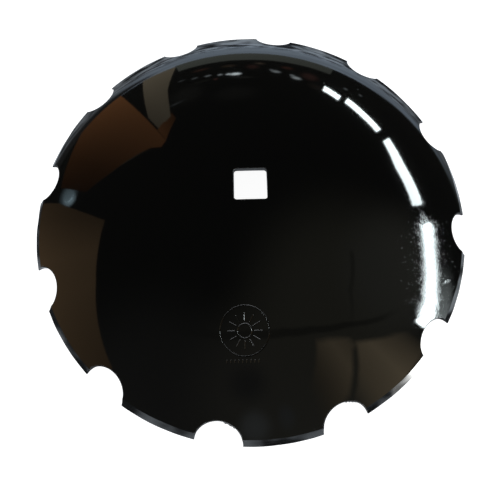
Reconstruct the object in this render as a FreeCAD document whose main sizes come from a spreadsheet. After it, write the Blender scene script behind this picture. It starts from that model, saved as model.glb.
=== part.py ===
import FreeCAD, Part
import math
import os
import Sketcher

# Notched harrow disc blade: one dished steel plate, lying concave side down on its teeth.
# Origin: on the disc axis, in the plane of the rim. +Z is the disc axis, through the crown.
# The flats of the square arbor hole face along X and Y.

# Driving dimensions, in millimetres and degrees, with what each one is.
DIMENSIONS = [
    ("disc_diameter", "610", "outside diameter over the teeth"),
    ("concavity", "82", "depth of the hollow, from the rim plane to the concave face"),
    ("plate_thickness", "7", "steel plate, measured on the disc axis"),
    ("arbor_square", "40", "across the flats of the square arbor hole"),
    ("arbor_corner_radius", "3.5", "radius in each corner of the arbor hole"),
    ("notch_count", "12", "scallops punched in the rim"),
    ("notch_diameter", "60", "round punch, centred on the rim circle"),
    ("notch_phase", "8.7", "first scallop, clockwise from +Y seen from the convex side"),
    ("bevel_width", "10", "ground edge on the convex face, measured in plan"),
    ("edge_land", "2.5", "upright land that the bevel leaves at the rim"),
    ("hole_roll_over", "1.2", "rounded lip of the arbor hole, on the punched side"),
]

SHEET = "Dimensions"
X_AXIS = -1
Y_AXIS = -2
START = 1
END = 2
CENTRE = 3
TOLERANCE = 1e-4


def make_sheet(doc):
    """Put the driving dimensions in a spreadsheet, one aliased cell a row."""
    sheet = doc.addObject("Spreadsheet::Sheet", SHEET)
    for row, (alias, value, note) in enumerate(DIMENSIONS, start=1):
        sheet.set("A%d" % row, alias)
        sheet.set("B%d" % row, value)
        sheet.set("C%d" % row, note)
        sheet.setAlias("B%d" % row, alias)
    doc.recompute()
    return sheet


def origin_feature(body, role):
    """Return one of the body's own origin planes or axes."""
    for feature in body.Origin.OriginFeatures:
        if feature.Role == role:
            return feature
    raise ValueError("no origin feature " + role)


def new_sketch(body, name, plane_role):
    """Add an empty sketch on one of the body's origin planes."""
    sketch = body.newObject("Sketcher::SketchObject", name)
    sketch.AttachmentSupport = [(origin_feature(body, plane_role), "")]
    sketch.MapMode = "FlatFace"
    return sketch


def constrain(sketch, *arguments):
    """Add one geometric constraint."""
    return sketch.addConstraint(Sketcher.Constraint(*arguments))


def drive(sketch, name, formula, *arguments):
    """Add one dimension, name it, and bind it to the spreadsheet."""
    index = sketch.addConstraint(Sketcher.Constraint(*arguments))
    sketch.renameConstraint(index, name)
    sketch.setExpression("Constraints." + name, formula)


def check_state(doc):
    """Stop if any object of the document failed to recompute."""
    for item in doc.Objects:
        if "Invalid" in item.State or "Error" in item.State:
            raise RuntimeError("%s: %s" % (item.Name, item.State))


def check_cut(doc, body, feature, volume_before):
    """Make the feature the body's tip and stop if it removed nothing."""
    body.Tip = feature
    doc.recompute()
    check_state(doc)
    volume = feature.Shape.Volume
    if not volume < volume_before - TOLERANCE:
        raise RuntimeError(feature.Name + " removed nothing")
    print("%-16s %12.1f mm3 removed" % (feature.Name, volume_before - volume))
    return volume


def dished_section(body, size):
    """Draw half of the disc's section: two concentric arcs, the rim land and the bevel."""
    rim = size["disc_diameter"] / 2
    depth = size["concavity"]
    sphere = (rim ** 2 + depth ** 2) / (2 * depth)
    centre = FreeCAD.Vector(0, depth - sphere, 0)
    outer = sphere + size["plate_thickness"]
    bevel_start = rim - size["bevel_width"]
    rim_angle = math.atan2(-centre.y, rim)
    bevel_angle = math.acos(bevel_start / outer)
    bevel_top = centre + outer * FreeCAD.Vector(math.cos(bevel_angle), math.sin(bevel_angle), 0)
    concave_crown = FreeCAD.Vector(0, depth, 0)
    convex_crown = FreeCAD.Vector(0, centre.y + outer, 0)
    rim_foot = FreeCAD.Vector(rim, 0, 0)
    rim_top = FreeCAD.Vector(rim, size["edge_land"], 0)
    up = FreeCAD.Vector(0, 0, 1)

    sketch = new_sketch(body, "Section", "XZ_Plane")
    concave = sketch.addGeometry(
        Part.ArcOfCircle(Part.Circle(centre, up, sphere), rim_angle, math.pi / 2))
    convex = sketch.addGeometry(
        Part.ArcOfCircle(Part.Circle(centre, up, outer), bevel_angle, math.pi / 2))
    axis = sketch.addGeometry(Part.LineSegment(concave_crown, convex_crown))
    land = sketch.addGeometry(Part.LineSegment(rim_foot, rim_top))
    bevel = sketch.addGeometry(Part.LineSegment(rim_top, bevel_top))

    constrain(sketch, "Coincident", concave, CENTRE, convex, CENTRE)
    constrain(sketch, "PointOnObject", concave, CENTRE, Y_AXIS)
    constrain(sketch, "Coincident", concave, END, axis, START)
    constrain(sketch, "Coincident", convex, END, axis, END)
    constrain(sketch, "PointOnObject", axis, START, Y_AXIS)
    constrain(sketch, "PointOnObject", axis, END, Y_AXIS)
    constrain(sketch, "Coincident", concave, START, land, START)
    constrain(sketch, "PointOnObject", land, START, X_AXIS)
    constrain(sketch, "Vertical", land)
    constrain(sketch, "Coincident", land, END, bevel, START)
    constrain(sketch, "Coincident", bevel, END, convex, START)
    drive(sketch, "rim_radius", SHEET + ".disc_diameter / 2",
          "DistanceX", X_AXIS, START, land, START, rim)
    drive(sketch, "hollow_depth", SHEET + ".concavity",
          "DistanceY", X_AXIS, START, axis, START, depth)
    drive(sketch, "thickness", SHEET + ".plate_thickness",
          "DistanceY", axis, START, axis, END, size["plate_thickness"])
    drive(sketch, "land_height", SHEET + ".edge_land",
          "DistanceY", land, START, land, END, size["edge_land"])
    drive(sketch, "bevel_width", SHEET + ".bevel_width",
          "DistanceX", bevel, END, bevel, START, size["bevel_width"])
    return sketch


def dished_plate(doc, body, size):
    """Turn the section about the disc axis."""
    sketch = dished_section(body, size)
    plate = body.newObject("PartDesign::Revolution", "DishedPlate")
    plate.Profile = sketch
    plate.ReferenceAxis = (sketch, ["V_Axis"])
    plate.Angle = 360
    body.Tip = plate
    doc.recompute()
    check_state(doc)
    return plate


def arbor_sketch(body, size):
    """Draw the square arbor hole with its rounded corners."""
    half = size["arbor_square"] / 2
    radius = size["arbor_corner_radius"]
    flat = half - radius
    sketch = new_sketch(body, "ArborSquare", "XY_Plane")
    flats = []
    corners = []
    for side in range(4):
        turn = FreeCAD.Rotation(FreeCAD.Vector(0, 0, 1), 90 * side)
        first = turn.multVec(FreeCAD.Vector(half, -flat, 0))
        last = turn.multVec(FreeCAD.Vector(half, flat, 0))
        corner = turn.multVec(FreeCAD.Vector(flat, flat, 0))
        circle = Part.Circle(corner, FreeCAD.Vector(0, 0, 1), radius)
        begin = math.radians(90 * side)
        flats.append(sketch.addGeometry(Part.LineSegment(first, last)))
        corners.append(sketch.addGeometry(Part.ArcOfCircle(circle, begin, begin + math.pi / 2)))
    for side in range(4):
        following = (side + 1) % 4
        constrain(sketch, "Tangent", flats[side], END, corners[side], START)
        constrain(sketch, "Tangent", corners[side], END, flats[following], START)
    for side in (0, 2):
        constrain(sketch, "Vertical", flats[side])
        constrain(sketch, "Horizontal", flats[side + 1])
    for side in (1, 2, 3):
        constrain(sketch, "Equal", corners[0], corners[side])
    constrain(sketch, "Symmetric", flats[0], START, flats[2], START, X_AXIS, START)
    constrain(sketch, "Equal", flats[0], flats[1])
    drive(sketch, "corner_radius", SHEET + ".arbor_corner_radius",
          "Radius", corners[0], radius)
    drive(sketch, "across_flats", SHEET + ".arbor_square",
          "DistanceX", flats[2], START, flats[0], START, 2 * half)
    return sketch


def notch_sketch(body, size):
    """Draw the first scallop's round punch, centred on the rim circle."""
    rim = size["disc_diameter"] / 2
    phase = math.radians(size["notch_phase"])
    centre = FreeCAD.Vector(rim * math.sin(phase), rim * math.cos(phase), 0)
    radius = size["notch_diameter"] / 2
    sketch = new_sketch(body, "NotchPunch", "XY_Plane")
    spoke = sketch.addGeometry(Part.LineSegment(FreeCAD.Vector(0, 0, 0), centre), True)
    punch = sketch.addGeometry(Part.Circle(centre, FreeCAD.Vector(0, 0, 1), radius))
    constrain(sketch, "Coincident", spoke, START, X_AXIS, START)
    constrain(sketch, "Coincident", spoke, END, punch, CENTRE)
    drive(sketch, "punch_radius", SHEET + ".notch_diameter / 2", "Radius", punch, radius)
    drive(sketch, "rim_radius", SHEET + ".disc_diameter / 2", "Distance", spoke, rim)
    drive(sketch, "phase", "90 - %s.notch_phase" % SHEET,
          "Angle", X_AXIS, START, spoke, START, math.pi / 2 - phase)
    return sketch


def punch_upwards(body, name, sketch):
    """Cut a sketch of the rim plane right through the plate, parallel to the disc axis."""
    pocket = body.newObject("PartDesign::Pocket", name)
    pocket.Profile = sketch
    pocket.Type = "ThroughAll"
    pocket.Reversed = True
    return pocket


def convex_lips(shape, size):
    """Name the edges where the walls of the arbor hole meet the convex face."""
    crown = size["concavity"] + size["plate_thickness"]
    reach = size["arbor_square"]
    names = []
    for number, edge in enumerate(shape.Edges, start=1):
        box = edge.BoundBox
        near_axis = max(abs(box.XMin), abs(box.XMax), abs(box.YMin), abs(box.YMax)) < reach
        near_crown = box.ZMin > crown - size["plate_thickness"] / 2
        if near_axis and near_crown:
            names.append("Edge%d" % number)
    return names


def roll_over(body, base, size):
    """Round the lip that the punch leaves where it entered the convex face."""
    fillet = body.newObject("PartDesign::Fillet", "HoleRollOver")
    fillet.Base = (base, convex_lips(base.Shape, size))
    fillet.setExpression("Radius", SHEET + ".hole_roll_over")
    return fillet


def make_disc_blade(doc, sheet):
    """Build the blade: dished plate, arbor hole, ring of scallops, rounded hole lip."""
    size = {alias: float(sheet.get(alias)) for alias, value, note in DIMENSIONS}
    body = doc.addObject("PartDesign::Body", "DiscBlade")
    body.Label = "disc_blade"

    plate = dished_plate(doc, body, size)
    volume = plate.Shape.Volume

    hole = punch_upwards(body, "ArborHole", arbor_sketch(body, size))
    volume = check_cut(doc, body, hole, volume)

    notch = punch_upwards(body, "Notch", notch_sketch(body, size))
    volume = check_cut(doc, body, notch, volume)
    ring = body.newObject("PartDesign::PolarPattern", "NotchRing")
    ring.Originals = [notch]
    ring.Axis = (origin_feature(body, "Z_Axis"), [""])
    ring.Angle = 360
    ring.setExpression("Occurrences", SHEET + ".notch_count")
    volume = check_cut(doc, body, ring, volume)

    check_cut(doc, body, roll_over(body, ring, size), volume)
    return body


def export(body):
    """Write the sub-part's solid, after the last test of its shape."""
    shape = body.Shape
    if shape.isNull() or not shape.isValid() or len(shape.Solids) != 1:
        raise RuntimeError(body.Label + " is not one valid solid")
    os.makedirs("parts", exist_ok=True)
    shape.exportStep(os.path.join("parts", body.Label + ".step"))
    box = shape.BoundBox
    print("%s: %.1f x %.1f x %.1f mm, %.0f mm3"
          % (body.Label, box.XLength, box.YLength, box.ZLength, shape.Volume))


document = FreeCAD.newDocument("HarrowDiscBlade")
dimension_sheet = make_sheet(document)
export(make_disc_blade(document, dimension_sheet))
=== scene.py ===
import math

import bpy
import numpy as np
from mathutils import Matrix, Vector


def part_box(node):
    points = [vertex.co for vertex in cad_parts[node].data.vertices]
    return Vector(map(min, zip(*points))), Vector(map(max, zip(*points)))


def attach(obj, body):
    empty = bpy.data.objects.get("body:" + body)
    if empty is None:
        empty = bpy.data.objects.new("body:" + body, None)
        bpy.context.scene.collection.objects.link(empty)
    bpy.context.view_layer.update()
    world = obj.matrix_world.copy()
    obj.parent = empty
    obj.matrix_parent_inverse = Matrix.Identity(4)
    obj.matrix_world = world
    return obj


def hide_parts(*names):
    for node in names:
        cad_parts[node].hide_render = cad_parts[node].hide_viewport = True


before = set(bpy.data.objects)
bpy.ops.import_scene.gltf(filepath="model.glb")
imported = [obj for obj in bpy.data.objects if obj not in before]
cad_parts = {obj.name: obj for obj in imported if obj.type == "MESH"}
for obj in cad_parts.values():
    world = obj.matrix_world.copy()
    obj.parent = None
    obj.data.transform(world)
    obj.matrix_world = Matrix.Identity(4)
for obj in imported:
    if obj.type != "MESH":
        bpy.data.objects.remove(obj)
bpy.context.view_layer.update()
node_low, node_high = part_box("disc_blade")

# The blade's own sizes, in metres. The disc axis is Z and the teeth stand on Z = 0.
RIM = round((node_high.x - node_low.x) / 2, 4)
CONCAVITY = 0.082
PLATE = 0.007
HOLE_HALF = 0.020
HOLE_CORNER = 0.0035
HOLE_LIP = 0.0012
NOTCHES = 12
NOTCH_RADIUS = 0.030
NOTCH_LIP = 0.0013
LIP_LEAST = 0.00012
BEVEL = 0.010
LAND = 0.0025
PITCH = 2 * math.pi / NOTCHES
FIRST_NOTCH = math.radians(90 - 8.7)

SPHERE = (RIM ** 2 + CONCAVITY ** 2) / (2 * CONCAVITY)
SPHERE_Z = CONCAVITY - SPHERE
CREASE = RIM - BEVEL

# How finely the skin is divided.
COLUMNS = 48
PLAIN_ROWS = 30
HOLE_ROWS = 7
ROUND_STEPS = 5
BLEND_RADIUS = 0.050
SCALLOP_STEPS_ON_FACE = 19
SCALLOP_STEPS_ON_BEVEL = 8
HOLLOW_ROWS = 13
HOLLOW_HOLE_SHARES = (0.33, 0.66, 1.0)
# How far the bevel's edge wanders and its foot rises and falls.
CREASE_WANDER = 0.0004
LAND_WANDER = 0.0006

# Kinds of face, and the material that each one wears.
CROWN, GRIND, LANDING, CUT, HOLLOW = range(5)
MATERIAL_OF = {CROWN: 0, GRIND: 1, LANDING: 1, CUT: 2, HOLLOW: 0}


# ---------------------------------------------------------------- the blade's form

def concave_z(radius):
    """Height of the hollow face."""
    return SPHERE_Z + np.sqrt(SPHERE ** 2 - np.square(radius))


def convex_z(radius):
    """Height of the crowned face, before the bevel."""
    return SPHERE_Z + np.sqrt((SPHERE + PLATE) ** 2 - np.square(radius))


def square_radius(angle, half, corner):
    """Distance from the axis to a rounded square, in the direction of an angle."""
    folded = np.mod(angle, math.pi / 2)
    folded = np.minimum(folded, math.pi / 2 - folded)
    flat = half - corner
    on_side = half / np.cos(folded)
    middle = flat * (np.cos(folded) + np.sin(folded))
    across = flat * flat * 2 - middle ** 2
    on_corner = middle + np.sqrt(np.maximum(corner ** 2 - across, 0))
    return np.where(half * np.tan(folded) <= flat, on_side, on_corner)


def ripple(angle, seed, count=7, slowest=9):
    """A smooth wandering line between about -1 and 1, the same on every run."""
    rng = np.random.default_rng(seed)
    total = np.zeros_like(angle)
    for step in range(count):
        wave = slowest * (step + 1) + rng.integers(0, 5)
        total += np.sin(wave * angle + rng.uniform(0, 2 * math.pi)) / (1 + 0.6 * step)
    return total / 2.2


def smooth_step(value, low, high):
    share = np.clip((value - low) / (high - low), 0, 1)
    return share * share * (3 - 2 * share)


def notch_steps():
    """Angles round a scallop's own centre, from its root to the rim; the crease is one of them."""
    crease = math.acos((RIM ** 2 + NOTCH_RADIUS ** 2 - CREASE ** 2) / (2 * RIM * NOTCH_RADIUS))
    rim = math.acos(NOTCH_RADIUS / (2 * RIM))
    below = np.linspace(0, crease, SCALLOP_STEPS_ON_FACE)
    above = np.linspace(crease, rim, SCALLOP_STEPS_ON_BEVEL)[1:]
    return np.concatenate([below, above]), len(below) - 1


def notch_lip(turn, crease_turn):
    """The rolled lip fades out where the bevel was ground through it."""
    fade = 1 - smooth_step(turn, crease_turn - 0.14, crease_turn + 0.04)
    return LIP_LEAST + (NOTCH_LIP - LIP_LEAST) * fade


def dome_normal(x, y):
    """Outward normals of the crowned face, with the stamp's grooves in it."""
    step = 0.00004
    slope_x = -x / (convex_z(np.hypot(x, y)) - SPHERE_Z)
    slope_y = -y / (convex_z(np.hypot(x, y)) - SPHERE_Z)
    slope_x = slope_x - (stamp_depth(x + step, y) - stamp_depth(x - step, y)) / (2 * step)
    slope_y = slope_y - (stamp_depth(x, y + step) - stamp_depth(x, y - step)) / (2 * step)
    normals = np.stack([-slope_x, -slope_y, np.ones_like(slope_x)], axis=-1)
    return normals / np.linalg.norm(normals, axis=-1, keepdims=True)


class Skin:
    """Gathers vertices and faces, and fills in the extra points where a finer patch joins."""

    def __init__(self):
        self.points = []
        self.faces = []
        self.kinds = []
        self.cut_normals = {}
        self.creases = set()
        self.between = {}

    def add(self, x, y, z):
        """Add vertices from equal arrays; return their numbers in the same shape."""
        x, y, z = np.broadcast_arrays(x, y, z)
        first = len(self.points)
        self.points.extend(zip(x.ravel().tolist(), y.ravel().tolist(), z.ravel().tolist()))
        return np.arange(first, first + x.size).reshape(x.shape)

    def split(self, a, b):
        """The extra points on the edge from a to b, in that order."""
        if (a, b) in self.between:
            return self.between[a, b]
        return self.between.get((b, a), [])[::-1]

    def face(self, corners, kind, flip=False):
        """Add a face, leaving out repeated corners and adding the points on its sides."""
        loop = []
        for a, b in zip(corners, corners[1:] + corners[:1]):
            if a != b:
                loop.append(a)
                loop.extend(self.split(a, b))
        if len(set(loop)) > 2:
            self.faces.append(loop[::-1] if flip else loop)
            self.kinds.append(kind)

    def strip(self, lower, upper, kind, flip=False):
        """Join two equally long lines of vertices with quads."""
        low, up = [int(v) for v in lower], [int(v) for v in upper]
        for j in range(len(low) - 1):
            self.face([low[j], low[j + 1], up[j + 1], up[j]], kind, flip)

    def crease(self, line):
        line = [int(v) for v in line]
        for a, b in zip(line, line[1:]):
            self.creases.add((min(a, b), max(a, b)))

    def lean(self, line, normals):
        """Note the normals that the cut faces have along a line."""
        for vertex, normal in zip(line, normals):
            self.cut_normals[int(vertex)] = tuple(normal)

    def grind_normals(self, points):
        """Normals of the ground bevel, from its own faces alone."""
        total = np.zeros_like(points)
        for loop, kind in zip(self.faces, self.kinds):
            if kind == GRIND:
                corners = points[loop]
                across = np.cross(corners[2] - corners[0], corners[-1] - corners[1])
                total[loop] += across
        return total / np.maximum(np.linalg.norm(total, axis=1, keepdims=True), 1e-12)

    def corner_normals(self):
        """The true normal of each face at each corner; zero where Blender works it out."""
        points = np.array(self.points)
        x, y = points[:, 0], points[:, 1]
        radius = np.maximum(np.hypot(x, y), 1e-9)
        crown = dome_normal(x, y)
        grind = self.grind_normals(points)
        hollow = np.stack([-x, -y, SPHERE_Z - concave_z(radius)], axis=-1)
        hollow /= np.linalg.norm(hollow, axis=-1, keepdims=True)
        outward = np.stack([x / radius, y / radius, np.zeros_like(x)], axis=-1)
        above = np.where(radius[:, None] > CREASE + 0.0005, grind, crown)
        normals = {CROWN: crown, GRIND: grind, HOLLOW: hollow, LANDING: outward}
        result = []
        for loop, kind in zip(self.faces, self.kinds):
            for vertex in loop:
                if kind == CUT:
                    result.append(self.cut_normals.get(vertex, above[vertex]))
                else:
                    result.append(normals[kind][vertex])
        return np.array(result, dtype=float)

    def drop_unused(self):
        """Leave out the points that no face uses."""
        used = sorted({vertex for loop in self.faces for vertex in loop})
        place = {vertex: i for i, vertex in enumerate(used)}
        self.points = [self.points[vertex] for vertex in used]
        self.faces = [[place[vertex] for vertex in loop] for loop in self.faces]
        self.cut_normals = {place[v]: n for v, n in self.cut_normals.items() if v in place}
        self.creases = {(place[a], place[b]) for a, b in self.creases}

    def mesh(self, name):
        self.drop_unused()
        mesh = bpy.data.meshes.new(name)
        mesh.from_pydata(self.points, [], self.faces)
        slots = [MATERIAL_OF[kind] for kind in self.kinds]
        mesh.polygons.foreach_set("material_index", slots)
        mesh.shade_smooth()
        sharp = [tuple(sorted(e.vertices)) in self.creases for e in mesh.edges]
        mesh.attributes.new("sharp_edge", "BOOLEAN", "EDGE").data.foreach_set("value", sharp)
        mesh.update()
        mesh.normals_split_custom_set(self.corner_normals().tolist())
        return mesh


def tooth_angles(half_mouth):
    """Angles of a row's vertices, tooth by tooth, between scallops of that half angle."""
    share = np.linspace(-1, 1, COLUMNS + 1)
    middle = FIRST_NOTCH + PITCH * (np.arange(NOTCHES) + 0.5)
    return middle[:, None] + share[None, :] * (PITCH / 2 - half_mouth)


def ring(skin, radius, height):
    """A full ring of vertices: radius and height are functions of the angle."""
    angle = tooth_angles(0.0)[:, :-1].ravel()
    reach = radius(angle)
    ids = skin.add(reach * np.cos(angle), reach * np.sin(angle), height(reach))
    ids = ids.reshape(NOTCHES, COLUMNS)
    return np.hstack([ids, np.roll(ids[:, :1], -1, axis=0)])


# ---------------------------------------------------------------- the stamp

STAMP_RING = 0.028
STAMP_PLACE = Vector((-0.0104, -0.1706))
DASHES_PLACE = Vector((-0.0133, -0.2040))
STAMP_DEPTH = 0.00055
STROKE = 0.00080
STAMP_BLOCK = (0.1375, 0.2125)
STAMP_HALF_COLUMNS = 17
SPOKES = 12
SPOKE_START, SPOKE_END = 0.0115, 0.0195
HUB_RING = 0.0080
DASHES = 9
DASH_PITCH = 0.0046
DASH_LENGTH = 0.0032
DASH_REACH = 0.08
# Cell size where the strokes run.
FINE = 0.00034


def groove(distance, half_width=STROKE, depth=STAMP_DEPTH):
    inside = np.clip(np.abs(distance) / half_width, 0, 1)
    return depth * (0.5 + 0.5 * np.cos(math.pi * inside))


def stroke_distance(x, y, start, end):
    """Distance to a straight stroke."""
    run = end - start
    share = ((x - start.x) * run.x + (y - start.y) * run.y) / run.length_squared
    share = np.clip(share, 0, 1)
    return np.hypot(x - start.x - share * run.x, y - start.y - share * run.y)


def stamp_strokes():
    """A wheel of short spokes in the ring, and a row of plain dashes below it."""
    strokes = []
    for spoke in range(SPOKES):
        turn = 2 * math.pi * spoke / SPOKES
        way = Vector((math.cos(turn), math.sin(turn)))
        strokes.append((STAMP_PLACE + way * SPOKE_START, STAMP_PLACE + way * SPOKE_END, 0.85))
    for dash in range(DASHES):
        foot = DASHES_PLACE + Vector(((dash - DASHES // 2) * DASH_PITCH, -DASH_LENGTH / 2))
        strokes.append((foot, foot + Vector((0, DASH_LENGTH)), 0.6))
    return strokes


STAMP_STROKES = stamp_strokes()


def stamp_depth(x, y):
    """How deep the stamp is at a place on the face."""
    from_centre = np.hypot(x - STAMP_PLACE.x, y - STAMP_PLACE.y)
    depth = groove(from_centre - STAMP_RING)
    depth = np.maximum(depth, groove(from_centre - HUB_RING, depth=STAMP_DEPTH * 0.85))
    near = np.hypot(x - DASHES_PLACE.x, y - DASHES_PLACE.y) < DASH_REACH
    if not np.any(near):
        return depth
    for start, end, share in STAMP_STROKES:
        line = groove(stroke_distance(x[near], y[near], start, end), depth=STAMP_DEPTH * share)
        depth[near] = np.maximum(depth[near], line)
    return depth


def stamped_block(skin, rows, reaches, first, last):
    """Put finely divided cells where the stamp's strokes run. Returns those cells."""
    flat = [ids[:, :-1].ravel() for ids in rows]
    pitch = PITCH / COLUMNS
    start = FIRST_NOTCH
    centre = math.atan2(STAMP_PLACE.y, STAMP_PLACE.x)
    middle = round(((centre - start) % (2 * math.pi)) / pitch)
    tall = math.ceil((reaches[first + 1] - reaches[first]) / FINE)
    wide = math.ceil(reaches[last] * pitch / FINE)
    done = set()
    edges = {}
    for i in range(first, last):
        for j in range(middle - STAMP_HALF_COLUMNS, middle + STAMP_HALF_COLUMNS):
            reach = np.linspace(reaches[i], reaches[i + 1], tall + 1)[:, None]
            turn = start + pitch * (j + np.linspace(0, 1, wide + 1))[None, :]
            x, y = reach * np.cos(turn), reach * np.sin(turn)
            depth = stamp_depth(x, y)
            if depth.max() < 1e-6:
                continue
            patch = skin.add(x, y, convex_z(np.hypot(x, y)) - depth)
            corners = [flat[i][j], flat[i][j + 1], flat[i + 1][j], flat[i + 1][j + 1]]
            patch[0, 0], patch[0, -1], patch[-1, 0], patch[-1, -1] = corners
            sides = {(i, j, "row"): patch[0], (i + 1, j, "row"): patch[-1],
                     (i, j, "column"): patch[:, 0], (i, j + 1, "column"): patch[:, -1]}
            for key, side in sides.items():
                if key in edges:
                    side[:] = edges[key]
                edges[key] = side.copy()
                skin.between[int(side[0]), int(side[-1])] = [int(v) for v in side[1:-1]]
            for k in range(tall):
                skin.strip(patch[k], patch[k + 1], CROWN, flip=True)
            done.add((i, j))
    return done


# ---------------------------------------------------------------- the skin, part by part

def tooth_row(turn, lip):
    """A row between scallops, at one angle round the scallops' centres."""
    reach = NOTCH_RADIUS + lip
    radius = min(math.sqrt(RIM ** 2 + reach ** 2 - 2 * RIM * reach * math.cos(turn)), RIM)
    half_mouth = math.atan2(reach * math.sin(turn), RIM - reach * math.cos(turn))
    return radius, tooth_angles(half_mouth)


def convex_face(skin, turns, crease_index):
    """The crowned face and the bevel. Returns the hole's lip line and each scallop's side rows."""
    def lip_line(angle):
        return square_radius(angle, HOLE_HALF + HOLE_LIP, HOLE_CORNER + HOLE_LIP)

    inner = [ring(skin, lip_line, convex_z)]
    reaches = [0.0]
    for step in range(1, HOLE_ROWS):
        share = step / (HOLE_ROWS - 1)
        inner.append(ring(skin, lambda a: BLEND_RADIUS * share + (1 - share) * lip_line(a),
                          convex_z))
        reaches.append(BLEND_RADIUS)
    root = RIM - NOTCH_RADIUS - notch_lip(0.0, turns[crease_index])
    for radius in np.linspace(BLEND_RADIUS, root, PLAIN_ROWS + 1)[1:]:
        inner.append(ring(skin, lambda a: np.full_like(a, radius), convex_z))
        reaches.append(radius)

    first = int(np.searchsorted(reaches, STAMP_BLOCK[0]))
    last = int(np.searchsorted(reaches, STAMP_BLOCK[1]))
    stamped = stamped_block(skin, inner, reaches, first, last)
    for i in range(len(inner) - 1):
        for k in range(NOTCHES):
            for j in range(COLUMNS):
                if (i, k * COLUMNS + j) in stamped:
                    continue
                quad = [inner[i][k, j], inner[i][k, j + 1],
                        inner[i + 1][k, j + 1], inner[i + 1][k, j]]
                skin.face([int(v) for v in quad], CROWN, flip=True)

    rows = [inner[-1]]
    crease_turn = turns[crease_index]
    share = np.linspace(-1, 1, COLUMNS + 1)[None, :]
    calm = 1 - share ** 8
    side_crease = tooth_row(crease_turn, notch_lip(crease_turn, crease_turn))[0]
    for i, turn in enumerate(turns[1:], start=1):
        radius, angle = tooth_row(turn, notch_lip(turn, crease_turn))
        wander = CREASE_WANDER * ripple(angle, 5) * calm
        if i <= crease_index:
            weight = ((radius - root) / (side_crease - root)) ** 2
            reach = radius + wander * weight
            height = convex_z(reach)
        else:
            down = (radius - side_crease) / (RIM - side_crease)
            start = side_crease + wander
            reach = start + (RIM - start) * down
            foot = LAND + LAND_WANDER * ripple(angle, 9, count=5, slowest=13) * calm
            height = convex_z(start) * (1 - down) + foot * down
        rows.append(skin.add(reach * np.cos(angle), reach * np.sin(angle), height))
    for i in range(len(rows) - 1):
        for k in range(NOTCHES):
            kind = CROWN if i < crease_index else GRIND
            skin.strip(rows[i][k], rows[i + 1][k], kind, flip=True)
    for k in range(NOTCHES):
        skin.crease(rows[crease_index][k])
        skin.crease(rows[-1][k])
    return inner[0], rows


def concave_face(skin, turns):
    """The plain hollow face. Returns the hole's line and the rows that pass the scallops."""
    inner = [ring(skin, lambda a: square_radius(a, HOLE_HALF, HOLE_CORNER), concave_z)]
    for share in HOLLOW_HOLE_SHARES:
        inner.append(ring(skin, lambda a: BLEND_RADIUS * share + (1 - share) * square_radius(
            a, HOLE_HALF, HOLE_CORNER), concave_z))
    for radius in np.linspace(BLEND_RADIUS, RIM - NOTCH_RADIUS, HOLLOW_ROWS)[1:]:
        inner.append(ring(skin, lambda a: np.full_like(a, radius), concave_z))
    rows = [inner[-1]]
    for turn in turns[1:]:
        radius, angle = tooth_row(turn, 0.0)
        rows.append(skin.add(radius * np.cos(angle), radius * np.sin(angle), concave_z(radius)))
    for group in (inner, rows):
        for low, up in zip(group, group[1:]):
            for k in range(NOTCHES):
                skin.strip(low[k], up[k], HOLLOW)
    for k in range(NOTCHES):
        skin.crease(rows[-1][k])
    return inner[0], rows


def side_line(rows, notch):
    """Vertices round one scallop, from the rim, by its root, to the rim again."""
    before = [int(row[notch - 1, -1]) for row in rows]
    after = [int(row[notch, 0]) for row in rows]
    return before[::-1] + after[1:]


# Torn steel left in some scallops: from and to (turn from the root), and how far it stands.
BURRS = {2: (-1.70, -1.40, 0.0030), 6: (0.08, 0.66, 0.0020), 7: (0.16, 0.70, 0.0015),
         8: (-1.36, -0.80, 0.0009)}


def burr(notch, turn):
    """How far torn steel stands into a scallop's mouth."""
    if notch not in BURRS:
        return np.zeros_like(turn)
    start, end, size = BURRS[notch]
    bump = smooth_step(turn, start, start + 0.10) * (1 - smooth_step(turn, end - 0.10, end))
    return size * bump * (0.50 + 0.50 * ripple(turn * 5, 20 + notch))


def lip_normals(x, y, away, bend):
    """Normals on a rolled lip, turning from the crowned face into the mouth."""
    crown = dome_normal(x, y)
    mouth = np.stack([-away[0], -away[1], np.zeros_like(x)], axis=-1)
    normals = crown * math.cos(bend) + mouth * math.sin(bend)
    return normals / np.linalg.norm(normals, axis=-1, keepdims=True)


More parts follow.
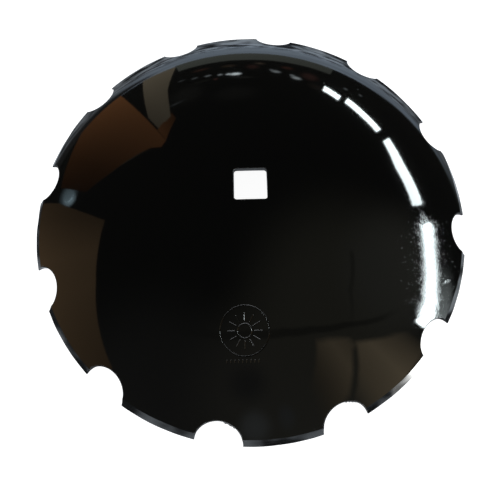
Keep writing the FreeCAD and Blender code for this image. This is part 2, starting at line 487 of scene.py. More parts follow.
def scallop_wall(skin, notch, turns, crease_index, top_rows, bottom_rows):
    """The rolled lip and the punched wall of one scallop."""
    angle = FIRST_NOTCH + PITCH * notch
    centre = Vector((RIM * math.cos(angle), RIM * math.sin(angle)))
    turn = np.concatenate([-turns[::-1], turns[1:]])
    lip = notch_lip(np.abs(turn), turns[crease_index])
    way = angle + math.pi - turn
    stand = burr(notch, turn)
    rough = (np.abs(stand) > 1e-7)[:, None]
    away = (np.cos(way), np.sin(way))
    bottom = side_line(bottom_rows, notch)
    lines = [side_line(top_rows, notch)]
    for step in range(1, ROUND_STEPS + 1):
        bend = math.pi / 2 * step / ROUND_STEPS
        reach = NOTCH_RADIUS + lip * (1 - math.sin(bend)) - stand * math.sin(bend)
        x = centre.x + reach * away[0]
        y = centre.y + reach * away[1]
        radius = np.minimum(np.hypot(x, y), RIM)
        bevelled = LAND + (convex_z(CREASE) - LAND) * (RIM - radius) / BEVEL
        height = np.minimum(convex_z(radius), bevelled) - lip * (1 - math.cos(bend))
        lines.append(skin.add(x, y, height))
        skin.lean(lines[-1], np.where(rough, 0, lip_normals(x, y, away, bend)))
    middle = NOTCH_RADIUS - 0.7 * stand
    x = centre.x + middle * away[0]
    y = centre.y + middle * away[1]
    low = concave_z(np.minimum(np.hypot(x, y), RIM))
    previous = np.array([skin.points[v][2] for v in lines[-1]])
    lines.append(skin.add(x, y, low + 0.35 * (previous - low)))
    lines.append(bottom)
    for line in lines[-2:]:
        skin.lean(line, np.where(rough, 0, lip_normals(x, y, away, math.pi / 2)))
    for low_line, up_line in zip(lines, lines[1:]):
        skin.strip(low_line, up_line, CUT, flip=True)
    skin.crease(bottom)
    for end in (0, -1):
        loop = [int(line[end]) for line in lines]
        skin.crease(loop)
        skin.face(loop, LANDING, flip=end == 0)


def hole_wall(skin, lip_line, bottom_line):
    """The rolled lip and the wall of the square arbor hole."""
    angle = tooth_angles(0.0)[:, :-1].ravel()
    outer = square_radius(angle, HOLE_HALF + HOLE_LIP, HOLE_CORNER + HOLE_LIP)
    inner = square_radius(angle, HOLE_HALF, HOLE_CORNER)
    edge = inner * np.exp(1j * angle)
    along = np.roll(edge, -1) - np.roll(edge, 1)
    away = along / np.abs(along) / 1j
    away = (away.real, away.imag)
    lines = [lip_line[:, :-1].ravel()]
    for step in range(1, ROUND_STEPS + 1):
        bend = math.pi / 2 * step / ROUND_STEPS
        radius = inner + (outer - inner) * (1 - math.sin(bend))
        x, y = radius * np.cos(angle), radius * np.sin(angle)
        lines.append(skin.add(x, y, convex_z(radius) - HOLE_LIP * (1 - math.cos(bend))))
        skin.lean(lines[-1], lip_normals(x, y, away, bend))
    lines.append(bottom_line[:, :-1].ravel())
    skin.lean(lines[-1], lip_normals(x, y, away, math.pi / 2))
    closed = [np.append(line, line[0]) for line in lines]
    for low_line, up_line in zip(closed, closed[1:]):
        skin.strip(low_line, up_line, CUT)
    skin.crease(closed[-1])


def build_blade():
    """The whole plate as one closed skin."""
    skin = Skin()
    turns, crease_index = notch_steps()
    lip_line, top_rows = convex_face(skin, turns, crease_index)
    bottom_line, bottom_rows = concave_face(skin, turns)
    hole_wall(skin, lip_line, bottom_line)
    for notch in range(NOTCHES):
        scallop_wall(skin, notch, turns, crease_index, top_rows, bottom_rows)
        skin.strip(top_rows[-1][notch], bottom_rows[-1][notch], LANDING, flip=True)
    blade = bpy.data.objects.new("blade", skin.mesh("blade"))
    bpy.context.scene.collection.objects.link(blade)
    return blade


# ---------------------------------------------------------------- materials

def new_material(name):
    material = bpy.data.materials.new(name)
    material.use_nodes = True
    material.node_tree.nodes.clear()
    return material, material.node_tree.nodes, material.node_tree.links


class Graph:
    """Short ways to wire shader nodes."""

    def __init__(self, nodes, links):
        self.nodes = nodes
        self.links = links

    def put(self, socket, value):
        if isinstance(value, bpy.types.NodeSocket):
            self.links.new(value, socket)
        else:
            socket.default_value = value

    def math(self, operation, first, second=0.0):
        node = self.nodes.new("ShaderNodeMath")
        node.operation = operation
        self.put(node.inputs[0], first)
        self.put(node.inputs[1], second)
        return node.outputs[0]

    def vector(self, operation, first, second=(0, 0, 0)):
        node = self.nodes.new("ShaderNodeVectorMath")
        node.operation = operation
        self.put(node.inputs[0], first)
        self.put(node.inputs[1], second)
        scalar = operation in ("DOT_PRODUCT", "DISTANCE", "LENGTH")
        return node.outputs["Value" if scalar else "Vector"]

    def fade(self, value, start, end, low=0.0, high=1.0):
        """A smooth step from low to high as the value goes from start to end."""
        node = self.nodes.new("ShaderNodeMapRange")
        node.interpolation_type = "SMOOTHSTEP"
        if start > end:
            start, end, low, high = end, start, high, low
        self.put(node.inputs["Value"], value)
        for name, number in (("From Min", start), ("From Max", end),
                             ("To Min", low), ("To Max", high)):
            node.inputs[name].default_value = number
        return node.outputs["Result"]

    def noise(self, vector, scale, detail=2.0, roughness=0.5):
        node = self.nodes.new("ShaderNodeTexNoise")
        self.links.new(vector, node.inputs["Vector"])
        node.inputs["Scale"].default_value = scale
        node.inputs["Detail"].default_value = detail
        node.inputs["Roughness"].default_value = roughness
        return node.outputs["Fac"]

    def cells(self, vector, scale):
        """Distance to the nearest scattered point, and a random number for it."""
        node = self.nodes.new("ShaderNodeTexVoronoi")
        self.links.new(vector, node.inputs["Vector"])
        node.inputs["Scale"].default_value = scale
        parts = self.nodes.new("ShaderNodeSeparateColor")
        self.links.new(node.outputs["Color"], parts.inputs[0])
        return node.outputs["Distance"], parts.outputs[0]

    def bump(self, height, distance):
        node = self.nodes.new("ShaderNodeBump")
        node.inputs["Distance"].default_value = distance
        self.links.new(height, node.inputs["Height"])
        return node.outputs["Normal"]

    def mix(self, share, first, second):
        node = self.nodes.new("ShaderNodeMix")
        node.data_type = "RGBA"
        self.put(node.inputs["Factor"], share)
        self.put(node.inputs["A"], first)
        self.put(node.inputs["B"], second)
        return node.outputs["Result"]

    def streak(self, position, centre, along, half_long, half_wide):
        """One inside a narrow patch of the face, falling to nothing at its edge."""
        offset = self.vector("SUBTRACT", position, centre)
        way = Vector((*along, 0)).normalized()
        across = Vector((-way.y, way.x, 0))
        u = self.math("DIVIDE", self.vector("DOT_PRODUCT", offset, way), half_long)
        v = self.math("DIVIDE", self.vector("DOT_PRODUCT", offset, across), half_wide)
        u, v = self.math("MULTIPLY", u, u), self.math("MULTIPLY", v, v)
        return self.fade(self.math("ADD", u, v), 1.0, 0.0)


BLACK = (0.0014, 0.0014, 0.0013)
DULL_GREY = (0.055, 0.058, 0.060)

# Places where the paint is marked, as the photograph shows them.
SPRAY_DUST = (0.232, -0.092, 0.036)
PAINT_LUMPS = (0.2233, -0.035, 0.046)
SCUFF = (0.2545, -0.1140, 0.022)
SCUFF_WAY = (0.94, 0.34)
# Where two paint drops stand on the bevel; the bevel paint draws their glint as grey spots, a
# painted highlight.
BEAD_GLINTS = [(-0.0143, -0.2907, 0.0158), (-0.0126, -0.2973, 0.0123)]


def add_all(graph, values):
    total = values[0]
    for value in values[1:]:
        total = graph.math("ADD", total, value)
    return total


def face_paint(graph, position):
    """Height of the paint film: faint orange peel, dust on the right, a few nibs."""
    peel = graph.noise(position, 420, 1.0, 0.5)
    patchy = graph.fade(graph.noise(position, 120, 2.0), 0.40, 0.60)
    dust_away = graph.vector("DISTANCE", position, SPRAY_DUST)
    dusty = graph.math("MULTIPLY", graph.fade(dust_away, 0.100, 0.050), patchy)
    dusty = graph.math("MAXIMUM", dusty, graph.fade(dust_away, 0.090, 0.020, 0.0, 0.75))
    grain = graph.noise(position, 1300, 1.0, 0.5)
    lump_away = graph.vector("DISTANCE", position, PAINT_LUMPS)
    lumpy = graph.math("MULTIPLY", graph.fade(lump_away, 0.011, 0.004),
                       graph.noise(position, 520, 2.0, 0.6))
    near, chance = graph.cells(position, 130)
    nib = graph.math("MULTIPLY", graph.fade(near, 0.10, 0.0),
                     graph.math("GREATER_THAN", chance, 0.93))
    speck_near, speck_chance = graph.cells(position, 360)
    often = graph.fade(dusty, 0.05, 0.9, 0.97, 0.55)
    speck = graph.math("MULTIPLY", graph.fade(speck_near, 0.22, 0.0),
                       graph.math("GREATER_THAN", speck_chance, often))
    scuff = graph.streak(position, SCUFF, SCUFF_WAY, 0.0085, 0.0030)
    scuffed = graph.math("MULTIPLY", scuff, graph.noise(position, 600, 2.0, 0.6))
    share = graph.fade(dusty, 0.0, 1.0, 0.05, 0.17)
    return add_all(graph, [
        graph.math("MULTIPLY", peel, share),
        graph.math("MULTIPLY", graph.math("MULTIPLY", grain, dusty), 0.26),
        graph.math("MULTIPLY", lumpy, 1.6),
        graph.math("MULTIPLY", nib, 0.45),
        graph.math("MULTIPLY", graph.math("MULTIPLY", speck, dusty), 0.60),
        graph.math("MULTIPLY", scuffed, 1.6),
    ]), dusty, scuff


def polar(graph, position):
    """Radius, angle round the axis, and distance from the nearest scallop's edge."""
    parts = graph.nodes.new("ShaderNodeSeparateXYZ")
    graph.links.new(position, parts.inputs[0])
    x, y = parts.outputs[0], parts.outputs[1]
    flat = graph.vector("MULTIPLY", position, (1, 1, 0))
    radius = graph.vector("LENGTH", flat)
    angle = graph.math("ARCTAN2", y, x)
    folded = graph.math("ADD", angle, PITCH / 2 - FIRST_NOTCH + 2 * math.pi)
    folded = graph.math("SUBTRACT", graph.math("MODULO", folded, PITCH), PITCH / 2)
    across = graph.math("MULTIPLY", radius, graph.math("SINE", folded))
    along = graph.math("SUBTRACT", graph.math("MULTIPLY", radius, graph.math(
        "COSINE", folded)), RIM)
    away = graph.math("SQRT", graph.math("ADD", graph.math("MULTIPLY", across, across),
                                         graph.math("MULTIPLY", along, along)))
    return radius, angle, graph.math("SUBTRACT", away, NOTCH_RADIUS)


def grind_marks(graph, radius, angle):
    """Height of fine scratches that run along the rim."""
    run = graph.nodes.new("ShaderNodeCombineXYZ")
    graph.links.new(graph.math("MULTIPLY", angle, RIM * 22), run.inputs[0])
    graph.links.new(graph.math("MULTIPLY", radius, 900), run.inputs[1])
    return graph.noise(run.outputs[0], 1.0, 3.0, 0.6)


def enamel(name, part):
    """Gloss black paint on steel: on the face, on the ground bevel or on the cut edges."""
    material, nodes, links = new_material(name)
    graph = Graph(nodes, links)
    paint = nodes.new("ShaderNodeBsdfPrincipled")
    links.new(paint.outputs[0], nodes.new("ShaderNodeOutputMaterial").inputs[0])
    paint.inputs["IOR"].default_value = 1.5
    position = nodes.new("ShaderNodeTexCoord").outputs["Object"]
    radius, angle, from_scallop = polar(graph, position)
    patch_noise = graph.noise(position, 160, 3.0, 0.65)
    if part == "face":
        height, dusty, scuff = face_paint(graph, position)
        # Lighter grey paint and a rougher gloss in patches along the scallop edges.
        greyed_by_scallop = graph.math("MULTIPLY", graph.fade(from_scallop, 0.0030, 0.0012),
                            graph.fade(patch_noise, 0.50, 0.62))
        dull = graph.math("MAXIMUM", graph.math("MULTIPLY", greyed_by_scallop, 0.5),
                          graph.math("MULTIPLY", scuff, graph.fade(patch_noise, 0.35, 0.7)))
        links.new(graph.fade(graph.math("MAXIMUM", graph.math("MULTIPLY", dusty, 0.10), dull),
                             0.0, 1.0, 0.045, 0.30), paint.inputs["Roughness"])
        links.new(graph.mix(dull, (*BLACK, 1), (*DULL_GREY, 1)), paint.inputs["Base Color"])
        links.new(graph.bump(height, 0.00012), paint.inputs["Normal"])
    elif part == "grind":
        marks = grind_marks(graph, radius, angle)
        film = graph.noise(position, 300, 2.0, 0.5)
        # Lighter grey paint in patches at the bevel's corners by the scallops.
        corner = graph.math("MULTIPLY", graph.fade(from_scallop, 0.0030, 0.0004),
                            graph.fade(patch_noise, 0.50, 0.62))
        # The drops' glint is painted as grey spots, a painted highlight; the drops have no shape of
        # their own.
        bead_glints = graph.math("MAXIMUM", *[graph.fade(
            graph.vector("DISTANCE", position, bead), 0.0013, 0.0008) for bead in BEAD_GLINTS])
        links.new(graph.fade(marks, 0.35, 0.75, 0.08, 0.28), paint.inputs["Roughness"])
        links.new(graph.mix(graph.math("MAXIMUM", corner, graph.math("MULTIPLY", bead_glints, 8.0)),
                            (*BLACK, 1), (*DULL_GREY, 1)), paint.inputs["Base Color"])
        height = add_all(graph, [marks, graph.math("MULTIPLY", film, 0.5)])
        links.new(graph.bump(height, 0.00006), paint.inputs["Normal"])
    else:
        torn = graph.noise(position, 420, 4.0, 0.7)
        links.new(graph.fade(torn, 0.3, 0.7, 0.14, 0.32), paint.inputs["Roughness"])
        links.new(graph.mix(graph.fade(patch_noise, 0.60, 0.72), (*BLACK, 1),
                            (*DULL_GREY, 1)), paint.inputs["Base Color"])
        links.new(graph.bump(torn, 0.00010), paint.inputs["Normal"])
    return material


# ---------------------------------------------------------------- stage, lights, camera

def emission(nodes, colour, strength=1.0):
    node = nodes.new("ShaderNodeEmission")
    node.inputs["Color"].default_value = (*colour, 1)
    node.inputs["Strength"].default_value = strength
    return node


def mix_shader(nodes, links, share, first, second):
    node = nodes.new("ShaderNodeMixShader")
    links.new(share, node.inputs[0])
    links.new(first, node.inputs[1])
    links.new(second, node.inputs[2])
    return node.outputs[0]


ROOM_LIGHT = (0.86, 0.9, 0.94)
HALL_DARK = (0.020, 0.020, 0.018)
FLOOR_GREY = (0.5, 0.5, 0.5)
FLOOR_GLOW = 0.94
FLOOR_IN_GLOSS = (0.09, 0.10, 0.10)
FLOOR_HALF = 6.0
FLOOR_DROP = 0.0005


def make_world():
    """White where the camera looks at it, dim in the gloss, and a plain light on colours."""
    world = bpy.data.worlds.new("room")
    bpy.context.scene.world = world
    world.use_nodes = True
    nodes, links = world.node_tree.nodes, world.node_tree.links
    nodes.clear()
    path = nodes.new("ShaderNodeLightPath")
    shades = []
    for colour in (ROOM_LIGHT, HALL_DARK, (1, 1, 1)):
        shade = nodes.new("ShaderNodeBackground")
        shade.inputs[0].default_value = (*colour, 1)
        shades.append(shade.outputs[0])
    lit = mix_shader(nodes, links, path.outputs["Is Glossy Ray"], shades[0], shades[1])
    seen = mix_shader(nodes, links, path.outputs["Is Camera Ray"], lit, shades[2])
    links.new(seen, nodes.new("ShaderNodeOutputWorld").inputs[0])


def lobe(nodes, links, position, centre, reach, colour, under):
    """A soft patch of light round a place, laid over what is under it."""
    apart = nodes.new("ShaderNodeVectorMath")
    apart.operation = "DISTANCE"
    links.new(position, apart.inputs[0])
    apart.inputs[1].default_value = centre
    fade = nodes.new("ShaderNodeMapRange")
    fade.interpolation_type = "SMOOTHERSTEP"
    links.new(apart.outputs["Value"], fade.inputs["Value"])
    fade.inputs["From Min"].default_value = reach[0]
    fade.inputs["From Max"].default_value = reach[1]
    fade.inputs["To Min"].default_value = 1.0
    fade.inputs["To Max"].default_value = 0.0
    blend = nodes.new("ShaderNodeMix")
    blend.data_type = "RGBA"
    links.new(fade.outputs["Result"], blend.inputs["Factor"])
    links.new(under, blend.inputs["A"])
    blend.inputs["B"].default_value = (*colour, 1)
    return blend.outputs["Result"]


def painted_light(nodes, links, ground, lobes):
    """A glow whose colour is laid over a ground colour, patch by patch."""
    position = nodes.new("ShaderNodeNewGeometry").outputs["Position"]
    colour = nodes.new("ShaderNodeRGB")
    colour.outputs[0].default_value = (*ground, 1)
    shade = colour.outputs[0]
    for centre, reach, tint in lobes:
        shade = lobe(nodes, links, position, centre, reach, tint, shade)
    glow = nodes.new("ShaderNodeEmission")
    links.new(shade, glow.inputs["Color"])
    return glow


def make_floor():
    """A floor that is white to the camera; the gloss shows it as a painted glow of a dim hall
    floor, brighter and darker in patches.
    """
    mesh = bpy.data.meshes.new("floor")
    corners = [(x * FLOOR_HALF, y * FLOOR_HALF, 0)
               for x, y in ((-1, -1), (1, -1), (1, 1), (-1, 1))]
    mesh.from_pydata(corners, [], [(0, 1, 2, 3)])
    floor = bpy.data.objects.new("floor", mesh)
    floor.location.z = -FLOOR_DROP
    bpy.context.scene.collection.objects.link(floor)
    material, nodes, links = new_material("pale_floor")
    path = nodes.new("ShaderNodeLightPath")
    diffuse = nodes.new("ShaderNodeBsdfDiffuse")
    diffuse.inputs[0].default_value = (*FLOOR_GREY, 1)
    white = nodes.new("ShaderNodeAddShader")
    links.new(diffuse.outputs[0], white.inputs[0])
    links.new(emission(nodes, (1, 1, 1), FLOOR_GLOW).outputs[0], white.inputs[1])
    graph = Graph(nodes, links)
    mirrored = painted_light(nodes, links, FLOOR_IN_GLOSS, FLOOR_LOBES)
    place = nodes.new("ShaderNodeNewGeometry").outputs["Position"]
    # The mirrored floor's glow is painted brighter and darker in patches: strongly within about
    # half a metre of the blade, faintly farther out.
    near = graph.fade(graph.vector("LENGTH", place), 0.75, 0.45)
    near_glow_patches = graph.fade(graph.noise(place, 17, 2.0, 0.55), 0.38, 0.62, 0.12, 2.0)
    far_glow_patches = graph.fade(graph.noise(place, 1.6, 1.0), 0.35, 0.65, 0.86, 1.1)
    share = graph.math("ADD", graph.math("MULTIPLY", near, near_glow_patches), graph.math(
        "MULTIPLY", graph.math("SUBTRACT", 1.0, near), far_glow_patches))
    links.new(share, mirrored.inputs["Strength"])
    lit = mix_shader(nodes, links, path.outputs["Is Glossy Ray"], diffuse.outputs[0],
                     mirrored.outputs[0])
    seen = mix_shader(nodes, links, path.outputs["Is Camera Ray"], lit, white.outputs[0])
    links.new(seen, nodes.new("ShaderNodeOutputMaterial").inputs[0])
    mesh.materials.append(material)


# Patches of painted light and shade on the floor in the gloss: place, where it starts and ends to
# fade, colour.
FLOOR_LOBES = [
    # Darker round the blade: the blade's painted shadow on the mirrored floor.
    ((0.0, 0.0, 0), (0.45, 1.2), (0.30, 0.33, 0.36)),
    # Brighter on the far side: a painted pool of window light on the floor.
    ((0.5, 2.9, 0), (2.2, 2.8), (0.58, 0.71, 0.86)),
    ((3.4, 1.0, 0), (1.9, 2.4), (0.07, 0.08, 0.07)),
    ((-2.4, 0.6, 0), (1.75, 2.05), (0.05, 0.05, 0.05)),
    # A small spot by the blade that glows far brighter than any floor: painted light that blows out
    # part of the bevel.
    ((0.216, -0.222, 0), (0.036, 0.058), (6.5, 6.6, 6.5)),
]

# Soft glows on the hall's dome in the gloss: azimuth, elevation, start and end, colour.
DOME_RADIUS = 5.0
DOME_LOBES = [
    (-150, 25, (1.0, 4.5), (0.070, 0.070, 0.066)),
    (160, 34, (1.0, 4.5), (0.150, 0.145, 0.120)),
    (118, 52, (0.8, 4.4), (0.150, 0.146, 0.112)),
    (98, 34, (0.4, 2.6), (0.200, 0.202, 0.172)),
    (183, 38, (0.05, 1.0), (0.085, 0.085, 0.080)),
]


def direction(azimuth, elevation):
    """Unit vector; azimuth from +Y towards +X, both in degrees."""
    a, e = math.radians(azimuth), math.radians(elevation)
    return Vector((math.sin(a) * math.cos(e), math.cos(a) * math.cos(e), math.sin(e)))


def gloss_only(piece):
    """Leave a stage piece in the reflections alone."""
    piece.visible_camera = False
    piece.visible_diffuse = False
    piece.visible_shadow = False
    piece.visible_transmission = False


def make_dome():
    """The dim hall overhead."""
    rings, turns = 12, 36
    points = [direction(360 * j / turns, 90 * i / rings) * DOME_RADIUS
              for i in range(rings + 1) for j in range(turns)]
    faces = [(i * turns + j, i * turns + (j + 1) % turns,
              (i + 1) * turns + (j + 1) % turns, (i + 1) * turns + j)
             for i in range(rings) for j in range(turns)]
    mesh = bpy.data.meshes.new("dome")
    mesh.from_pydata(points, [], faces)
    piece = bpy.data.objects.new("dome", mesh)
    bpy.context.scene.collection.objects.link(piece)
    material, nodes, links = new_material("dome")
    lobes = [(direction(a, e) * DOME_RADIUS, reach, tint) for a, e, reach, tint in DOME_LOBES]
    glow = painted_light(nodes, links, HALL_DARK, lobes)
    links.new(glow.outputs[0], nodes.new("ShaderNodeOutputMaterial").inputs[0])
    mesh.materials.append(material)
    gloss_only(piece)


CARD_DISTANCE = 2.5
CARD_STEP = 5.0


def card(name, columns, soft=0.0):
    """A glowing card round the blade: columns of azimuth, low and high edge, and colour.

    A soft card fades out over so many degrees above and below.
    """
    points, faces, tints = [], [], []
    for (a0, low0, high0, tint0), (a1, low1, high1, tint1) in zip(columns, columns[1:]):
        steps = max(1, math.ceil(abs(a1 - a0) / CARD_STEP))
        for i in range(steps):
            first = len(points)
            for share in (i / steps, (i + 1) / steps):
                azimuth = a0 + (a1 - a0) * share
                low, high = low0 + (low1 - low0) * share, high0 + (high1 - high0) * share
                tint = [p + (q - p) * share for p, q in zip(solid(tint0), solid(tint1))]
                for elevation, cover in ((low - soft, 0 if soft else 1), (low, 1),
                                         (high, 1), (high + soft, 0 if soft else 1)):
                    points.append(direction(azimuth, elevation) * CARD_DISTANCE)
                    tints.append((*tint[:3], tint[3] * cover))
            for row in ((0, 1, 2) if soft else (1,)):
                faces.append((first + row, first + row + 1, first + row + 5, first + row + 4))
    tinted_piece(name, points, faces, tints)


def solid(tint):
    return tint if len(tint) == 4 else (*tint, 1.0)


def clear(tint, cover=0.0):
    """The same colour, partly or wholly see-through."""
    return (*tint[:3], cover)


def tinted_piece(name, points, faces, tints):
    """A stage piece that glows in the colours of its points."""
    mesh = bpy.data.meshes.new(name)
    mesh.from_pydata(points, [], faces)
    tint = mesh.color_attributes.new("tint", "FLOAT_COLOR", "POINT")
    tint.data.foreach_set("color", [part for colour in tints for part in colour])
    piece = bpy.data.objects.new(name, mesh)
    bpy.context.scene.collection.objects.link(piece)
    material, nodes, links = new_material(name)
    colour = nodes.new("ShaderNodeAttribute")
    colour.attribute_name = "tint"
    glow = nodes.new("ShaderNodeEmission")
    links.new(colour.outputs["Color"], glow.inputs["Color"])
    shown = mix_shader(nodes, links, colour.outputs["Alpha"],
                       nodes.new("ShaderNodeBsdfTransparent").outputs[0], glow.outputs[0])
    links.new(shown, nodes.new("ShaderNodeOutputMaterial").inputs[0])
    mesh.materials.append(material)
    gloss_only(piece)


def shade(colour, share):
    return tuple(part * share for part in colour)


DAY = (16.0, 18.0, 18.3)
BRIGHT = (24.0, 27.0, 27.5)
LAMP = (5.0, 5.6, 5.8)
BOX = (0.42, 0.18, 0.07)
BOARD = (0.40, 0.26, 0.14)
PALE = (0.40, 0.34, 0.24)
TAPE = (0.62, 0.50, 0.34)
PATCH = (0.72, 0.58, 0.38)
OLIVE = (0.22, 0.24, 0.21)
NEAR_WALL = (5.0, 5.2, 5.4)
OLIVE_DARK = (0.045, 0.045, 0.038)

# What the glossy paint mirrors, from the far side round to the right and the left.
CARDS = {
    "window_a": [(24.3, 12.2, 15.0, DAY), (30.2, 13.6, 16.4, DAY)],
    "window_b": [(32.2, 12.6, 15.6, DAY), (39, 14.0, 17.0, DAY), (46.4, 15.2, 18.0, DAY)],
    "window_c": [(50, 15.3, 18.8, DAY), (60, 17.2, 21.8, DAY), (74.3, 17.2, 21.9, DAY)],
    "window_d": [(80, 15.4, 20.6, BRIGHT), (90, 15.6, 20.4, BRIGHT), (100, 14.0, 19.2, BRIGHT),
                 (108, 11.8, 18.4, BRIGHT), (113.5, 11.4, 18.6, BRIGHT)],
    "near_wall": [(140, 1, 9, shade(NEAR_WALL, 0.3)), (165, 0, 11, NEAR_WALL),
                  (195, 0, 11, NEAR_WALL), (225, 0, 9, shade(NEAR_WALL, 0.4))],
    "far_kerb": [(-19, 0, 4.2, OLIVE), (0, 0.4, 5, OLIVE), (24, 0.4, 4.4, shade(OLIVE, 0.8))],
    "box": [(-67, 6, 18.6, shade(BOX, 0.15)), (-58, 3, 25, shade(BOX, 0.3)),
            (-50, 0, 28.6, shade(BOX, 0.55)), (-42.3, 0, 32, shade(BOX, 0.8)),
            (-39, 0, 35, shade(BOX, 0.9)), (-36, 0, 34, BOX), (-35.6, 0, 34, shade(BOX, 0.8))],
    "box_top": [(-35.4, 27.5, 33.6, shade(BOX, 0.9)), (-27.4, 24, 27.6, shade(BOX, 0.4))],
    "pale_board": [(-34.8, 20, 27.2, shade(PALE, 0.8)), (-28.6, 0, 25.8, PALE),
                   (-24.4, 0.2, 12, PALE), (-19.2, 0.6, 1.2, PALE)],
    "board": [(-128, 12, 18.4, shade(BOARD, 0.6)), (-100, 5, 27, BOARD), (-88, 2, 29, BOARD),
              (-76.2, 0, 30.4, shade(BOARD, 0.5)), (-71.6, 0, 8, shade(BOARD, 0.4))],
}

# The same, with edges that fade out over so many degrees.
SOFT_CARDS = {
    "glare": (2.0, [(93, 11, 14, clear(DAY)), (100, 8, 12.6, clear(DAY, 0.05)),
                    (108, 7, 11, clear(DAY, 0.10)), (118, 6, 9, clear(DAY, 0.12)),
                    (124, 5, 8, clear(DAY))]),
    "box_edge": (0.5, [(-68, 17.2, 17.5, clear(PALE)), (-60, 23.0, 23.4, clear(PALE, 0.3)),
                       (-50, 28.4, 28.9, clear(PALE, 0.35)), (-42, 32.0, 32.5, clear(PALE))]),
    "box_seam": (0.5, [(-53, 20.0, 20.2, clear(TAPE)), (-48, 19.6, 19.9, clear(TAPE, 0.5)),
                       (-41, 18.8, 19.2, clear(TAPE, 0.9)), (-36.4, 20.9, 21.3, clear(TAPE))]),
    "patch_left": (3.0, [(132.5, 36.6, 37.2, clear(PATCH)), (136, 35, 38, shade(PATCH, 0.7)),
                         (141, 29, 41, shade(PATCH, 0.85)), (146.4, 23, 43, shade(PATCH, 0.6)),
                         (152, 20, 36, clear(shade(PATCH, 0.4), 0.8)),
                         (159, 18, 28, clear(shade(PATCH, 0.3)))]),
    "patch_right": (2.6, [(117, 12, 20, clear(PATCH)), (124, 12, 25.5, shade(PATCH, 0.8)),
                          (129, 12, 30.2, shade(PATCH, 1.15)), (132.5, 12, 33, PATCH),
                          (138, 12, 26, shade(PATCH, 0.8)), (146, 12, 16.5, clear(PATCH))]),
    "beam": (1.2, [(112, 26.6, 27.4, clear(OLIVE_DARK)), (120, 32, 33.4, clear(OLIVE_DARK, 0.6)),
                   (130, 40.6, 42.2, clear(OLIVE_DARK, 0.7)), (145, 48, 50, clear(OLIVE_DARK, 0.7)),
                   (160, 52, 54.2, clear(OLIVE_DARK, 0.7)), (182, 54, 56, clear(OLIVE_DARK, 0.6)),
                   (211, 49.6, 51.4, clear(OLIVE_DARK, 0.4)), (225, 44, 45, clear(OLIVE_DARK))]),
    "column": (0.8, [(92, 50.4, 51, clear(OLIVE_DARK)), (96, 49.3, 50.2, clear(OLIVE_DARK, 0.5)),
                     (115, 46.4, 47.4, clear(OLIVE_DARK, 0.4)),
                     (134.4, 36.4, 37.4, clear(OLIVE_DARK))]),
}

# Soft lights in the hall: azimuth, elevation, width, height, colour.
BLOBS = [
    (-3.2, 13.4, 4.6, 2.0, LAMP), (-5.4, 13.1, 2.4, 1.4, shade(LAMP, 0.6)),
    (-7.9, 12.8, 2.2, 1.2, shade(LAMP, 0.30)), (-11.6, 12.1, 3.0, 1.2, shade(LAMP, 0.16)),
    (-15.6, 11.5, 2.8, 1.0, shade(LAMP, 0.09)), (-19.5, 10.4, 3.0, 0.9, shade(LAMP, 0.05)),
    (9.0, 11.4, 3.8, 2.0, shade(LAMP, 0.22)), (7.6, 10.8, 2.0, 1.4, shade(LAMP, 0.12)),
    (15.4, 13.0, 4.2, 2.2, shade(LAMP, 0.34)), (14.0, 12.0, 2.4, 1.6, shade(LAMP, 0.16)),
    (-24, 21.0, 8.0, 1.4, shade(LAMP, 0.05)), (-70, 12.2, 5.6, 6.4, (2.0, 2.8, 3.2)),
    (-69, 11.2, 9.0, 9.0, (0.5, 0.7, 0.8)), (-41.5, 19.1, 5.0, 2.2, shade(TAPE, 1.5)),
    (30, 8.6, 2.0, 1.4, shade(LAMP, 0.10)), (34.5, 7.4, 1.6, 1.2, shade(LAMP, 0.10)),
    (-13, 7.6, 7.0, 1.6, (0.14, 0.07, 0.05)), (-5, 8.2, 6.0, 1.8, (0.13, 0.09, 0.06)),
    (2, 9.4, 5.0, 3.6, (0.12, 0.06, 0.05)), (4, 7.2, 4.0, 1.6, (0.20, 0.15, 0.11)),
    (12, 8.2, 5.0, 2.2, (0.16, 0.07, 0.05)), (19, 10.2, 7.0, 5.6, (0.14, 0.07, 0.06)),
    (22, 14.6, 7.0, 4.0, (0.06, 0.05, 0.04)), (-9.5, 14.8, 2.4, 1.2, (0.26, 0.12, 0.10)),
    (-1, 15.6, 9.0, 1.4, (0.08, 0.08, 0.07)), (-14, 14.4, 9.0, 1.2, (0.06, 0.06, 0.05)),
    (-20, 19.0, 16.0, 12.0, (0.05, 0.05, 0.045)), (-4, 24.0, 22.0, 10.0, (0.045, 0.045, 0.04)),
    (180, 21.0, 14.0, 16.0, (0.27, 0.29, 0.29)), (169, 23.0, 8.0, 13.0, (0.17, 0.18, 0.18)),
]
BLOB_TURNS = 16


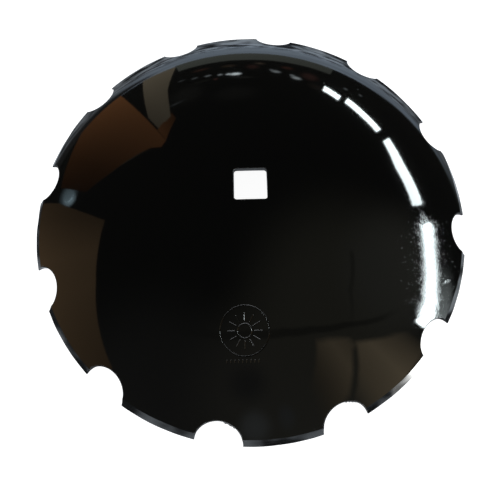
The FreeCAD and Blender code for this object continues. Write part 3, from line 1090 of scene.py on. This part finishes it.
def blobs():
    """Round lights that fade out at their edges."""
    points, faces, tints = [], [], []
    for azimuth, elevation, width, height, colour in BLOBS:
        first = len(points)
        points.append(direction(azimuth, elevation) * CARD_DISTANCE)
        tints.append((*colour, 1))
        for size, strength in ((0.45, 0.75), (0.75, 0.25), (1.0, 0.0)):
            for turn in np.arange(BLOB_TURNS) * 2 * math.pi / BLOB_TURNS:
                points.append(direction(azimuth + width / 2 * size * math.cos(turn),
                                        elevation + height / 2 * size * math.sin(turn))
                              * CARD_DISTANCE)
                tints.append(clear(colour, strength))
        for i in range(BLOB_TURNS):
            j = (i + 1) % BLOB_TURNS
            faces.append((first, first + 1 + i, first + 1 + j))
            for ring_start in (1, 1 + BLOB_TURNS):
                a, b = first + ring_start + i, first + ring_start + j
                faces.append((a, a + BLOB_TURNS, b + BLOB_TURNS, b))
    tinted_piece("hall_lights", points, faces, tints)


def make_cards():
    """Windows on the right, boxes and boards on the left: what the paint mirrors."""
    for name, columns in CARDS.items():
        card(name, columns)
    for name, (soft, columns) in SOFT_CARDS.items():
        card(name, columns, soft)
    blobs()


# The photograph's view, as near as a camera without shift comes to it.
CAMERA_PLACE = Vector((-0.0038, -0.1762, 0.4575))
CAMERA_TARGET = Vector((-0.0019, -0.0492, 0.0))
CAMERA_ROLL = math.radians(-0.52)
CAMERA_LENS = 24.2


def make_camera():
    camera = bpy.data.cameras.new("camera")
    camera.lens = CAMERA_LENS
    camera.sensor_width = 36.0
    camera.clip_start = 0.01
    piece = bpy.data.objects.new("camera", camera)
    bpy.context.scene.collection.objects.link(piece)
    back = (CAMERA_PLACE - CAMERA_TARGET).normalized()
    turn = back.to_track_quat("Z", "Y").to_matrix()
    roll = Matrix.Rotation(CAMERA_ROLL, 3, "Z")
    piece.matrix_world = Matrix.Translation(CAMERA_PLACE) @ (turn @ roll).to_4x4()
    bpy.context.scene.camera = piece


bpy.context.scene.view_settings.view_transform = "Standard"
make_world()
make_floor()
make_dome()
make_cards()
make_camera()

blade = build_blade()
blade.data.materials.append(enamel("enamel", "face"))
blade.data.materials.append(enamel("enamel_on_grind", "grind"))
blade.data.materials.append(enamel("enamel_on_cut", "cut"))
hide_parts("disc_blade")
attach(blade, "root")
